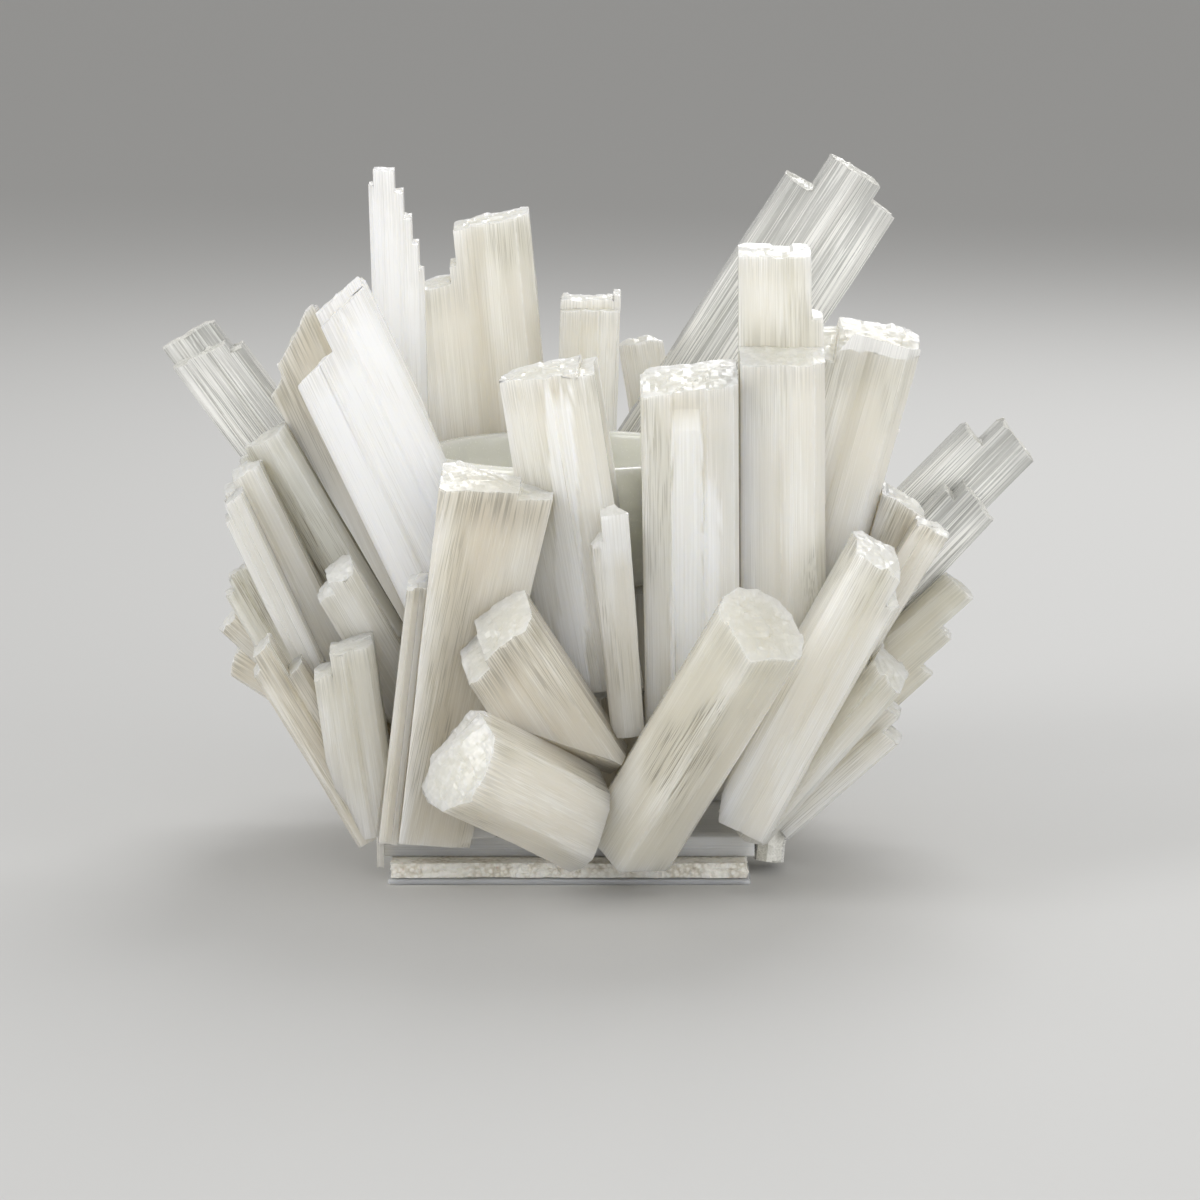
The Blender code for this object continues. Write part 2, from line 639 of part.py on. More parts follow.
def build():
    clear_scene()
    parts = bpy.data.collections.new("selenite_bowl")
    bpy.context.scene.collection.children.link(parts)
    solids = []

    half = FOOT_SIDE / 2
    add_box("foot_plate", (-half, -half, 0), (half, half, PLATE_THICK), "slab_selenite", solids, parts)
    add_chip_bed(solids, parts)
    add_box(
        "foot_slab", (-half - 2, -half + SLAB_FRONT_LEDGE, SLAB_BOTTOM), (half + 2, half + 1, SLAB_TOP),
        "slab_selenite", solids, parts,
    )
    reach = BLOCK_SIDE / 2
    add_box(
        "middle_block", (-reach, -reach, SLAB_TOP + GLUE_GAP), (reach, reach, BOWL_BOTTOM - GLUE_GAP),
        "milky_selenite", solids, parts, edge=3,
    )
    add_bowl(solids, parts)
    back_logs = [spray_log(nth, spray) for nth, spray in enumerate(BACK_SPRAYS, start=1)]
    for log in (*FRONT_LOGS, *SIDE_LOGS, *BACK_LOGS, *back_logs, *FOOT_STONES):
        add_log(log, solids, parts)


build()
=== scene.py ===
"""A selenite bowl in its finished looks: split logs round a smooth stone bowl, on a square foot."""

import enum
import json
import logging
import math
import random
from dataclasses import dataclass, field

import bmesh
import bpy
import numpy as np
from mathutils import Matrix, Vector, kdtree, noise


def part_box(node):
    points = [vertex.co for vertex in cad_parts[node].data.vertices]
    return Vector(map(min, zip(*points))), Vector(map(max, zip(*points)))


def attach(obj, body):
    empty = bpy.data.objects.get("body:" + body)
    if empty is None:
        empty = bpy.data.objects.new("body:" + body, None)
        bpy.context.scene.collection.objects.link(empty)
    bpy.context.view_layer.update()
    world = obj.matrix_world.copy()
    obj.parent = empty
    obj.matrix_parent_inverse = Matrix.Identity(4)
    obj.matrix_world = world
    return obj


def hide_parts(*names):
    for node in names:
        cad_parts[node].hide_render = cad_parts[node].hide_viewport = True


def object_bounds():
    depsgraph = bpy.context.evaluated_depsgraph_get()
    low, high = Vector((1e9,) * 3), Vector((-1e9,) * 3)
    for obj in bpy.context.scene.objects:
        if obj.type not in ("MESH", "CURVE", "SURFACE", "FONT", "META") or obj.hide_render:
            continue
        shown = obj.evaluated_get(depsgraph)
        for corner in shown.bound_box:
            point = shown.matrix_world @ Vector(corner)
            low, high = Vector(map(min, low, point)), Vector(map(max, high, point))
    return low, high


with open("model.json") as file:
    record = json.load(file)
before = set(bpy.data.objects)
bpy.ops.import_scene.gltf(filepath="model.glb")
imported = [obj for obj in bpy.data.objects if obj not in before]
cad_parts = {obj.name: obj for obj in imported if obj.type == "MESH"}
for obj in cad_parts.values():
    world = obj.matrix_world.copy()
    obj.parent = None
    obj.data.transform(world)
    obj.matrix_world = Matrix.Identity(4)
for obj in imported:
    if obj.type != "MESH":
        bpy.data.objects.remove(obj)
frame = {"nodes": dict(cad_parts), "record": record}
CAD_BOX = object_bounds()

LOG = logging.getLogger("selenite_bowl")

MM = 0.001
BODY = "root"
SAME_POINT = 0.01 * MM
ON_PLANE = 1e-6

Colour = tuple[float, float, float]
Point = tuple[float, float, float]


def axis_way(axis: int) -> Vector:
    """The unit vector along an axis, given by its number."""
    return Vector([1.0 if number == axis else 0.0 for number in range(3)])


class Signal:
    """One output of a shader node, for use in Python expressions."""

    def __init__(self, tree: "ShaderTree", socket: bpy.types.NodeSocket) -> None:
        """Wraps a socket.

        Args:
            tree: The shader tree that the socket's node stands in.
            socket: The output socket.
        """
        self.tree = tree
        self.socket = socket

    def _with(self, operation: str, first: object, second: object) -> "Signal":
        """Adds the node for one operation, of the kind that suits the values.

        Args:
            operation: The name of the operation, which Math and Vector Math share.
            first: The first value, a number, a tuple of three or a Signal.
            second: The second value.

        Returns:
            The result.
        """
        pair = (first, second)
        is_vector = any(
            isinstance(value, tuple) or (isinstance(value, Signal) and value.socket.type == "VECTOR")
            for value in pair
        )
        kind = "ShaderNodeVectorMath" if is_vector else "ShaderNodeMath"
        first, second = [
            (value,) * 3 if is_vector and isinstance(value, (int, float)) else value for value in pair
        ]
        return self.tree.node(kind, {"operation": operation}, {0: first, 1: second})

    def __add__(self, other: object) -> "Signal":
        """The sum."""
        return self._with("ADD", self, other)

    def __radd__(self, other: object) -> "Signal":
        """The sum, with the signal on the right."""
        return self._with("ADD", other, self)

    def __sub__(self, other: object) -> "Signal":
        """The difference."""
        return self._with("SUBTRACT", self, other)

    def __rsub__(self, other: object) -> "Signal":
        """The difference, with the signal on the right."""
        return self._with("SUBTRACT", other, self)

    def __mul__(self, other: object) -> "Signal":
        """The product."""
        return self._with("MULTIPLY", self, other)

    def __rmul__(self, other: object) -> "Signal":
        """The product, with the signal on the right."""
        return self._with("MULTIPLY", other, self)


class ShaderTree:
    """A material's node tree, built up from Python expressions."""

    def __init__(self, name: str) -> None:
        """Starts an empty material.

        Args:
            name: The material's name.
        """
        self.material = bpy.data.materials.new(name)
        self.material.use_nodes = True
        self.nodes = self.material.node_tree.nodes
        self.links = self.material.node_tree.links
        self.nodes.clear()

    def node(
        self,
        kind: str,
        settings: dict[str, object] | None = None,
        inputs: dict[int | str, object] | None = None,
        output: int | str = 0,
    ) -> Signal:
        """Adds a node, sets it and feeds its sockets.

        Args:
            kind: The node's type.
            settings: Its settings, such as an operation.
            inputs: The value or Signal of each input socket, by name or number.
            output: The output socket to return, by name or number.

        Returns:
            The output.
        """
        made = self.nodes.new(kind)
        for key, value in (settings or {}).items():
            setattr(made, key, value)
        for key, value in (inputs or {}).items():
            socket = made.inputs[key]
            if isinstance(value, Signal):
                self.links.new(value.socket, socket)
            elif socket.type == "RGBA" and len(value) == 3:
                socket.default_value = (*value, 1)
            else:
                socket.default_value = value
        return Signal(self, made.outputs[output])

    def attribute(self, name: str, output: str) -> Signal:
        """A mesh attribute: its Vector or its Fac output."""
        return self.node("ShaderNodeAttribute", {"attribute_name": name}, output=output)

    def noise(self, place: Signal, scale: float, detail: float = 2, roughness: float = 0.5) -> Signal:
        """Noise from 0 to 1 at a place.

        Args:
            place: The coordinates, in metres.
            scale: How many features there are to a metre.
            detail: The number of finer layers.
            roughness: How strong the finer layers are.

        Returns:
            The noise.
        """
        sizes = {"Vector": place, "Scale": scale, "Detail": detail, "Roughness": roughness}
        return self.node("ShaderNodeTexNoise", {"noise_dimensions": "3D"}, sizes, "Fac")

    def cells(self, place: Signal, scale: float) -> Signal:
        """The distance to the nearest of many scattered points, from 0."""
        return self.node("ShaderNodeTexVoronoi", {"feature": "F1"}, {"Vector": place, "Scale": scale})

    def between(self, value: Signal, low: float, high: float) -> Signal:
        """A smooth mask that is 0 at or below low and 1 at or above high, or the other way round."""
        steps = {"interpolation_type": "SMOOTHSTEP"}
        if low < high:
            return self.node("ShaderNodeMapRange", steps, {0: value, 1: low, 2: high})
        return self.node("ShaderNodeMapRange", steps, {0: value, 1: high, 2: low, 3: 1.0, 4: 0.0})

    def blend(self, mask: object, below: object, above: object) -> Signal:
        """A mix of two colours: below where the mask is 0 and above where it is 1."""
        return self.node(
            "ShaderNodeMix", {"data_type": "RGBA", "clamp_factor": True}, {0: mask, 6: below, 7: above}, 2
        )

    def bump(self, height: Signal, distance: float, strength: float = 1.0) -> Signal:
        """A normal that follows a height."""
        sizes = {"Height": height, "Distance": distance, "Strength": strength}
        return self.node("ShaderNodeBump", {}, sizes, "Normal")

    def principled(self, **sockets: object) -> Signal:
        """Adds a surface shader.

        Args:
            sockets: The shader's inputs, with an underscore for each space in a name.

        Returns:
            The shader's output.
        """
        inputs = {name.replace("_", " "): value for name, value in sockets.items()}
        return self.node("ShaderNodeBsdfPrincipled", {"subsurface_method": "RANDOM_WALK"}, inputs, "BSDF")

    def mixed(self, mask: Signal, below: Signal, above: Signal) -> Signal:
        """A mix of two shaders: below where the mask is 0 and above where it is 1."""
        return self.node("ShaderNodeMixShader", {}, {0: mask, 1: below, 2: above})

    def finish(self, shader: Signal) -> bpy.types.Material:
        """Joins a shader to the output.

        Args:
            shader: The shader.

        Returns:
            The finished material.
        """
        output = self.nodes.new("ShaderNodeOutputMaterial")
        self.links.new(shader.socket, output.inputs["Surface"])
        return self.material


# The attributes that the stones' meshes carry for their finishes.
GRAIN = "grain"
DEPTH = "below_end"
TORN = "torn"
WORN_AND_GLINT = "worn"
FLAKE_SHEEN = "flake"


@dataclass(frozen=True)
class SeleniteFinish:
    """How one kind of selenite looks along and across its fibres.

    The colours are those of its milky and clear stone, its warm lower part, white flaws, dark lines and
    torn ends; the white also paints a sheen highlight on flakes and edges, and a dark clear tone paints
    shade below the torn end. The strengths from silk to shade say how much of each effect shows, from 0 to
    1.
    """

    name: str
    milk: Colour = (0.745, 0.72, 0.655)
    clear: Colour = (0.60, 0.60, 0.54)
    warm: Colour = (0.74, 0.68, 0.57)
    snow: Colour = (0.93, 0.92, 0.88)
    line: Colour = (0.32, 0.30, 0.25)
    end: Colour = (0.70, 0.695, 0.64)
    silk: float = 0.22
    clearness: float = 0.5
    lines: float = 0.4
    warmth: float = 0.5
    frost: float = 0.4
    shade: float = 0.35
    roughness: float = 0.2
    scatter: float = 0.92
    see_through: float = 0.0

    def material(self) -> bpy.types.Material:
        """Builds the material.

        Returns:
            A material that reads the stone's own grain and frost attributes.
        """
        tree = ShaderTree(self.name)
        grain = tree.attribute(GRAIN, "Vector")
        depth = tree.attribute(DEPTH, "Fac")
        torn = tree.attribute(TORN, "Fac")
        worn = tree.attribute(WORN_AND_GLINT, "Fac")
        flake = tree.attribute(FLAKE_SHEEN, "Fac")
        place = tree.node("ShaderNodeTexCoord", output="Object")

        fibres = tree.noise(grain * (1.0, 1.0, 0.01), 1500, 1, 0.6)
        hairs = tree.noise(grain * (1.0, 1.0, 0.008), 3200, 0, 0.5)
        clouds = tree.noise(grain * (1.0, 1.0, 0.4), 40, 1, 0.5)
        dashes = tree.noise(grain * (1.0, 1.0, 0.018), 2600, 0, 0.5)
        grit = tree.noise(grain, 300, 1, 0.6)
        fog = tree.noise(grain * (1.0, 1.0, 0.22), 75, 1, 0.5)

        colour = tree.blend(tree.between(clouds, 0.42, 0.64) * self.clearness, self.milk, self.clear)
        height = tree.node("ShaderNodeSeparateXYZ", inputs={0: place}, output="Z")
        low = tree.between(height, 0.16, 0.03) * self.warmth
        colour = tree.blend(low * 0.75, colour, self.warm)
        colour = tree.blend(tree.between(fog, 0.44, 0.74) * 0.4, colour, self.snow)
        strength = tree.between(fog, 0.38, 0.60) * 0.8 + 0.2
        colour = tree.blend(tree.between(fibres, 0.46, 0.74) * strength * self.silk, colour, self.snow)
        bright = tree.between(hairs, 0.60, 0.70) * strength
        colour = tree.blend(bright * self.silk, colour, self.snow)
        colour = tree.blend(tree.between(hairs, 0.40, 0.30) * strength * 0.14, colour, self.line)
        streaks = tree.between(fibres, 0.42, 0.60)
        # Painted shade: darker streaks just below the torn end.
        under = tree.between(depth, 0.020, 0.002) * (streaks * 0.7 + 0.3)
        colour = tree.blend(under * self.shade, colour, tuple(0.5 * part for part in self.clear))
        gathered = tree.between(clouds, 0.52, 0.64)
        dark = tree.between(dashes, 0.55, 0.66) * gathered * self.lines
        colour = tree.blend(dark, colour, self.line)
        flecks = tree.between(dashes, 0.36, 0.28) * strength
        colour = tree.blend(flecks * (1 - torn) * 0.4, colour, self.snow)
        # The flakes are whitened: partly white stone, partly a painted sheen highlight.
        colour = tree.blend(flake * (streaks * 0.3 + 0.65), colour, self.snow)
        white = tree.between(grit * 0.6 + clouds * 0.4, 0.44, 0.62) * self.frost
        colour = tree.blend(torn * 0.9, colour, self.end)
        colour = tree.blend(white * torn, colour, self.snow)
        # Worn edge faces are whitened: partly chipped stone, partly a painted edge highlight.
        colour = tree.blend(worn * tree.between(grit, 0.35, 0.7) * 0.25, colour, self.snow)

        relief = fibres * (1 - torn) * 0.5 + grit * torn * 0.5
        normal = tree.bump(relief, 0.0004, 0.6)
        roughness = fibres * 0.14 + torn * 0.1 + (self.roughness - 0.07)
        cloudy = tree.principled(
            Base_Color=colour,
            Roughness=roughness,
            IOR=1.52,
            Subsurface_Weight=self.scatter,
            Subsurface_Radius=(0.040, 0.037, 0.031),
            Subsurface_Scale=1.0,
            Normal=normal,
        )
        if not self.see_through:
            return tree.finish(cloudy)
        glass = tree.principled(
            Base_Color=tree.blend(clouds, self.snow, self.milk),
            Roughness=fibres * 0.1 + 0.06,
            IOR=1.52,
            Transmission_Weight=1.0,
            Normal=normal,
        )
        fibrous = tree.between(fibres * 0.7 + fog * 0.3, 0.42, 0.62) + bright * 0.5 + flecks * 0.6
        milky = 1 - self.see_through
        solid = fibrous * milky + torn * 0.4 + worn * 0.2 + 0.7 * milky
        return tree.finish(tree.mixed(solid, glass, cloudy))


@dataclass(frozen=True)
class CrustFinish:
    """Crushed selenite: white grains in clear glue."""

    name: str = "white_crushed_selenite"
    light: Colour = (0.93, 0.90, 0.83)
    shade: Colour = (0.66, 0.62, 0.53)

    def material(self) -> bpy.types.Material:
        """Builds the material.

        Returns:
            The material.
        """
        tree = ShaderTree(self.name)
        place = tree.node("ShaderNodeTexCoord", output="Object")
        grains = tree.cells(place, 520)
        grit = tree.noise(place, 900, 4, 0.65)
        patches = tree.noise(place, 110, 2)
        hollow = tree.between(grains, 0.25, 0.75) * tree.between(patches, 0.38, 0.6)
        return tree.finish(tree.principled(
            Base_Color=tree.blend(hollow, self.light, self.shade),
            Roughness=grit * 0.3 + 0.45,
            IOR=1.52,
            Subsurface_Weight=0.4,
            Subsurface_Radius=(0.006, 0.005, 0.004),
            Subsurface_Scale=1.0,
            Normal=tree.bump(grit - grains * 0.8, 0.0009, 0.9),
        ))


@dataclass(frozen=True)
class PolishedFinish:
    """The turned and polished stone of the bowl."""

    name: str = "polished_grey_green_stone"
    pale: Colour = (0.83, 0.83, 0.77)
    deep: Colour = (0.76, 0.76, 0.70)
    vein: Colour = (0.88, 0.87, 0.82)

    def material(self) -> bpy.types.Material:
        """Builds the material.

        Returns:
            The material.
        """
        tree = ShaderTree(self.name)
        place = tree.node("ShaderNodeTexCoord", output="Object")
        drift = tree.noise(place, 14, 3, 0.5)
        layers = tree.noise(place * (1.0, 0.7, 3.0) + drift * 0.09, 26, 4, 0.55)
        specks = tree.noise(place, 900, 2, 0.5)
        colour = tree.blend(tree.between(layers, 0.35, 0.68), self.pale, self.deep)
        veins = tree.between(layers, 0.60, 0.66) * tree.between(layers, 0.74, 0.68)
        colour = tree.blend(veins * 0.5, colour, self.vein)
        colour = tree.blend(tree.between(specks, 0.62, 0.74) * 0.3, colour, self.vein)
        return tree.finish(tree.principled(
            Base_Color=colour,
            Roughness=tree.between(specks, 0.4, 0.7) * 0.12 + 0.16,
            IOR=1.54,
            Subsurface_Weight=0.5,
            Subsurface_Radius=(0.010, 0.010, 0.008),
            Subsurface_Scale=1.0,
            Normal=tree.bump(specks, 0.0001, 0.3),
        ))


@dataclass(frozen=True)
class PlainFinish:
    """The pale floor of the studio."""

    name: str = "pale_floor"
    colour: Colour = (0.56, 0.56, 0.555)

    def material(self) -> bpy.types.Material:
        """Builds the material.

        Returns:
            The material.
        """
        tree = ShaderTree(self.name)
        place = tree.node("ShaderNodeTexCoord", output="Object")
        grit = tree.noise(place, 300, 2)
        return tree.finish(tree.principled(Base_Color=self.colour, Roughness=grit * 0.06 + 0.6))


class Look(enum.Enum):
    """The finish of each of the record's material slots."""

    MILKY = SeleniteFinish("milky_selenite_fibres")
    BRIGHT = SeleniteFinish(
        "bright_selenite_fibres", milk=(0.94, 0.93, 0.91), clear=(0.80, 0.79, 0.76), clearness=0.3,
        end=(0.90, 0.89, 0.86), silk=0.3, lines=0.15, warmth=0.3, frost=0.8, roughness=0.22,
    )
    CREAM = SeleniteFinish(
        "cream_selenite_fibres", milk=(0.68, 0.64, 0.56), clear=(0.52, 0.50, 0.43), warm=(0.66, 0.59, 0.48),
        snow=(0.87, 0.85, 0.79), end=(0.68, 0.67, 0.61), lines=0.5, warmth=0.6, shade=0.7, frost=0.4,
    )
    GREY = SeleniteFinish(
        "grey_selenite_fibres", milk=(0.66, 0.65, 0.58), clear=(0.50, 0.50, 0.44), warm=(0.64, 0.58, 0.48),
        snow=(0.85, 0.84, 0.79), end=(0.66, 0.65, 0.59), clearness=0.6, lines=0.9, frost=0.3,
    )
    CLEAR = SeleniteFinish(
        "clear_selenite_fibres", milk=(0.90, 0.90, 0.87), clear=(0.80, 0.81, 0.78), silk=0.3, clearness=0.6,
        lines=0.3, warmth=0.1, roughness=0.16, scatter=0.0, see_through=0.4,
    )
    SLAB = SeleniteFinish(
        "sawn_selenite_slab", milk=(0.93, 0.91, 0.83), clear=(0.82, 0.80, 0.71), clearness=0.5,
        lines=0.1, warmth=0.25, roughness=0.2,
    )
    CRUST = CrustFinish()
    STONE = PolishedFinish()

    @classmethod
    def of_slot(cls, slot: str) -> "Look":
        """The look of a material slot.

        Args:
            slot: The record's name of the slot.

        Returns:
            The look.
        """
        return {
            "milky_selenite": cls.MILKY,
            "bright_selenite": cls.BRIGHT,
            "cream_selenite": cls.CREAM,
            "grey_selenite": cls.GREY,
            "clear_selenite": cls.CLEAR,
            "slab_selenite": cls.SLAB,
            "crushed_selenite": cls.CRUST,
            "bowl_stone": cls.STONE,
        }[slot]


class Workshop:
    """Makes the finishes once, and puts finished pieces in place."""

    def __init__(self) -> None:
        """Reads the record's slots."""
        self.materials: dict[str, bpy.types.Material] = {}
        self.slots: dict[str, str] = {
            row["node"]: row["material_slot"] for row in frame["record"]["subparts"]
        }

    def material(self, look: Look) -> bpy.types.Material:
        """The material of a look, made the first time that it is asked for."""
        if look.name not in self.materials:
            self.materials[look.name] = look.value.material()
        return self.materials[look.name]

    def place(
        self, name: str, bm: bmesh.types.BMesh, slot: str, nodes: tuple[str, ...] = ()
    ) -> bpy.types.Object:
        """Turns a bmesh into a piece of the object.

        Args:
            name: The piece's name.
            bm: Its mesh, which is freed.
            slot: The record's slot whose finish it takes.
            nodes: The CAD nodes that it stands for.

        Returns:
            The piece.
        """
        mesh = bpy.data.meshes.new(name)
        bm.to_mesh(mesh)
        bm.free()
        piece = bpy.data.objects.new(name, mesh)
        mesh.materials.append(self.material(Look.of_slot(slot)))
        bpy.context.scene.collection.objects.link(piece)
        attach(piece, BODY)
        if nodes:
            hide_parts(*nodes)
        LOG.info("%s: %d faces", name, len(mesh.polygons))
        return piece


@dataclass(frozen=True)
class SheenFlake:
    """A white layer that still clings to a log's front, its white partly a painted sheen highlight, by its
    ranges of X and Z in millimetres.
    """

    left: float
    right: float
    foot: float
    top: float
    lean: float = 0.0
    proud: float = 0.9

    def holds(self, at: Vector, ragged: float) -> bool:
        """Whether a point lies under the flake.

        Args:
            at: The point in millimetres.
            ragged: Noise that frays the flake's outline.

        Returns:
            True if it does.
        """
        across = at.x - self.lean * (at.z - self.foot) + 1.2 * ragged
        return self.left < across < self.right and self.foot < at.z + 6 * ragged < self.top


# The white flakes by log: partly white layers of stone, partly a painted sheen highlight.
SHEEN_FLAKES: dict[str, tuple[SheenFlake, ...]] = {
    "centre_tall": (SheenFlake(41.0, 53.5, 58.0, 189.0), SheenFlake(54.0, 60.5, 58.0, 162.0, proud=0.5)),
    "centre_left_tall": (SheenFlake(-2.0, 8.6, 82.0, 203.0, lean=-0.06, proud=0.4),),
    "front_thin_blade": (SheenFlake(0.0, 30.0, 141.0, 170.0, proud=0.3),),
}


@dataclass
class SeleniteLog:
    """One split log, with the ridges, steps and torn end that its CAD solid leaves out.

    Sizes are in millimetres and the sharp angle is in degrees. strip and segment are the mesh's mean
    pitch across and along the fibres. The facings are the least part of a normal that counts a face as
    the end's, a side's or the front's. deepest_tear is the share of the next corner's depth that a tear
    may reach, and flake_from the noise above which a flake has split off.
    """

    node: str
    strip: float = 1.4
    segment: float = 7.0
    flute: float = 0.2
    flute_width: float = 9.0
    ridge: float = 0.1
    ridge_width: float = 1.6
    step: float = 0.35
    flake_width: float = 9.0
    flake_length: float = 75.0
    flake_from: float = 0.25
    rise: float = 0.9
    torn: float = 1.2
    bundle_width: float = 8.0
    fray: float = 0.35
    fibre_width: float = 2.2
    crumble: float = 0.4
    deepest_tear: float = 0.7
    edge: float = 0.6
    sharp_angle: float = 38.0
    end_facing: float = 0.45
    side_facing: float = 0.6
    front_facing: float = 0.5
    full_width: float = 42.0
    chance: random.Random = field(init=False, repr=False)
    shift: Vector = field(init=False, repr=False)

    def __post_init__(self) -> None:
        """Seeds the log's own chance and moves its noise to a place of its own."""
        self.chance = random.Random(f"looks {self.node}")
        self.shift = Vector([self.chance.uniform(0, 9) for _ in range(3)])

    def merged_copy(self) -> bmesh.types.BMesh:
        """The CAD node's mesh with its flat faces whole again.

        Returns:
            The mesh.
        """
        bm = bmesh.new()
        bm.from_mesh(frame["nodes"][self.node].data)
        bmesh.ops.remove_doubles(bm, verts=bm.verts[:], dist=SAME_POINT)
        bmesh.ops.dissolve_limit(bm, angle_limit=math.radians(0.4), verts=bm.verts[:], edges=bm.edges[:])
        return bm

    def wear_edges(self, bm: bmesh.types.BMesh) -> None:
        """Breaks the sharp edges and marks the narrow faces that this leaves, which the finish whitens as
        chipped stone and as a painted edge highlight.

        Args:
            bm: The log's mesh.
        """
        worn = bm.faces.layers.float.new(WORN_AND_GLINT)
        limit = math.radians(self.sharp_angle)
        sharp = [edge for edge in bm.edges if edge.is_manifold and edge.calc_face_angle() > limit]
        made = bmesh.ops.bevel(
            bm, geom=sharp, offset=self.edge * MM, offset_type="OFFSET", affect="EDGES", segments=2,
            profile=0.5, material=-1, clamp_overlap=True,
        )
        for face in made["faces"]:
            face[worn] = 1.0

    @staticmethod
    def grain_frame(bm: bmesh.types.BMesh) -> Matrix:
        """The turn from the log's own directions, with the fibres along Z, to the object's.

        Args:
            bm: The log's mesh.

        Returns:
            A 3 x 3 matrix.
        """
        runs = np.array([edge.verts[1].co - edge.verts[0].co for edge in bm.edges])
        lengths = np.linalg.norm(runs, axis=1)
        _, ways = np.linalg.eigh(runs.T @ (runs * lengths[:, None]))
        fibre = Vector(ways[:, -1])
        if fibre.z < 0:
            fibre.negate()
        sides = [face for face in bm.faces if abs(face.normal.dot(fibre)) < 0.3]
        widest = max(sides, key=lambda face: face.calc_area())
        depth = (widest.normal - fibre * widest.normal.dot(fibre)).normalized()
        width = depth.cross(fibre)
        return Matrix((width, depth, fibre)).transposed()

    def cuts(self, low: float, high: float, pitch: float) -> list[float]:
        """Uneven steps between two levels.

        Args:
            low: The lower level in metres.
            high: The upper level in metres.
            pitch: The mean step in millimetres.

        Returns:
            The levels in metres.
        """
        levels = []
        level = low
        while True:
            level += pitch * MM * self.chance.uniform(0.55, 1.45)
            if level > high - 0.3 * pitch * MM:
                return levels
            levels.append(level)

    def slice_along(self, bm: bmesh.types.BMesh, axis: int, pitch: float) -> None:
        """Divides the mesh by planes square to one axis.

        Args:
            bm: The mesh, in the log's own directions.
            axis: The axis' number.
            pitch: The mean distance of the planes in millimetres.
        """
        places = [vertex.co[axis] for vertex in bm.verts]
        way = axis_way(axis)
        for level in self.cuts(min(places), max(places), pitch):
            everything = [*bm.verts, *bm.edges, *bm.faces]
            bmesh.ops.bisect_plane(bm, geom=everything, dist=ON_PLANE, plane_co=way * level, plane_no=way)

    def tear_end(self, bm: bmesh.types.BMesh) -> list[Vector]:
        """Tears the upper end into bundles of fibres.

        Args:
            bm: The mesh, in the log's own directions.

        Returns:
            Points on the torn end.
        """
        mark = bm.faces.layers.float.new(TORN)
        ends = [face for face in bm.faces if face.normal.z > self.end_facing]
        for face in ends:
            face[mark] = 1.0
        corners = {vertex for face in ends for vertex in face.verts}
        for vertex in corners:
            drops = [
                vertex.co.z - edge.other_vert(vertex).co.z
                for edge in vertex.link_edges
                if edge.other_vert(vertex) not in corners
            ]
            room = min((drop for drop in drops if drop > 0), default=6 * MM) * self.deepest_tear
            at = vertex.co / MM + self.shift * 10
            bend = Vector((noise.noise(at / 7), noise.noise(at / 7 + self.shift), 0))
            flat = Vector((at.x, at.y, 0)) + bend * 3.5
            bundle = 0.5 + 0.5 * noise.cell(flat / self.bundle_width)
            fibre = 0.5 + 0.5 * noise.cell(flat / self.fibre_width + self.shift)
            lump = noise.noise(at / 6) * 1.2 + noise.noise(at / 2.4) * 0.5
            lift = self.rise - self.torn * bundle**1.5 - self.fray * fibre + self.crumble * lump
            vertex.co.z += max(lift * MM, -room)
        return [vertex.co.copy() for vertex in corners]

    def split_sides(self, bm: bmesh.types.BMesh) -> None:
        """Gives the sides long flutes, ridges and the steps of split-off flakes.

        Args:
            bm: The mesh, in the log's own directions.
        """
        moves = []
        for vertex in bm.verts:
            outward = Vector((0, 0, 0))
            for face in vertex.link_faces:
                if abs(face.normal.z) < self.side_facing:
                    outward += face.normal * face.calc_area()
            outward.z = 0
            if outward.length < 1e-12:
                continue
            at = vertex.co / MM
            x, y, z = at.x, at.y, at.z
            wide, fine, broad = self.flute_width, self.ridge_width, self.flake_width
            long_flute = noise.noise(Vector((x / wide, y / wide, z / 200)) + self.shift)
            ridge = noise.noise(Vector((x / fine, y / fine, z / 140)) + self.shift)
            drift = noise.noise(Vector((x / wide, y / wide, z / 80)) + self.shift) * 3
            spot = Vector(((x + drift) / broad, (y + drift) / broad, (z + 8 * drift) / self.flake_length))
            flake = noise.cell(spot + self.shift)
            depth = self.flute * 0.5 * long_flute + self.ridge * 0.6 * ridge
            if flake > self.flake_from:
                depth += self.step * flake
            moves.append((vertex, outward.normalized() * -depth * MM))
        for vertex, move in moves:
            vertex.co += move

    def raise_sheen_flakes(self, bm: bmesh.types.BMesh) -> None:
        """Raises and marks the white flakes on the log's front, whose white is partly a painted sheen
        highlight.

        Args:
            bm: The mesh, in the object's directions.
        """
        mark = bm.verts.layers.float.new(FLAKE_SHEEN)
        bm.normal_update()
        moves = []
        for flake in SHEEN_FLAKES.get(self.node, ()):
            for vertex in bm.verts:
                at = vertex.co / MM
                ragged = noise.noise(Vector((at.x / 2.5, 0, at.z / 9)) + self.shift)
                if flake.holds(at, ragged) and vertex.normal.y < -self.front_facing:
                    vertex[mark] = 1.0
                    moves.append((vertex, flake.proud))
        for vertex, proud in moves:
            vertex.co.y -= proud * MM

    def write_looks(self, bm: bmesh.types.BMesh, torn: list[Vector]) -> None:
        """Writes where each corner lies along the fibres, and how far it is from the torn end.

        Args:
            bm: The mesh, in the log's own directions.
            torn: Points on the torn end.
        """
        tree = kdtree.KDTree(len(torn))
        for number, point in enumerate(torn):
            tree.insert(point, number)
        tree.balance()
        grain = bm.verts.layers.float_vector.new(GRAIN)
        depth = bm.verts.layers.float.new(DEPTH)
        across = [vertex.co.x for vertex in bm.verts]
        reach = self.full_width * MM / (max(across) - min(across))
        for vertex in bm.verts:
            vertex[grain] = vertex.co + self.shift
            vertex[depth] = tree.find(vertex.co)[2] * max(reach, 1.0) if torn else 1.0

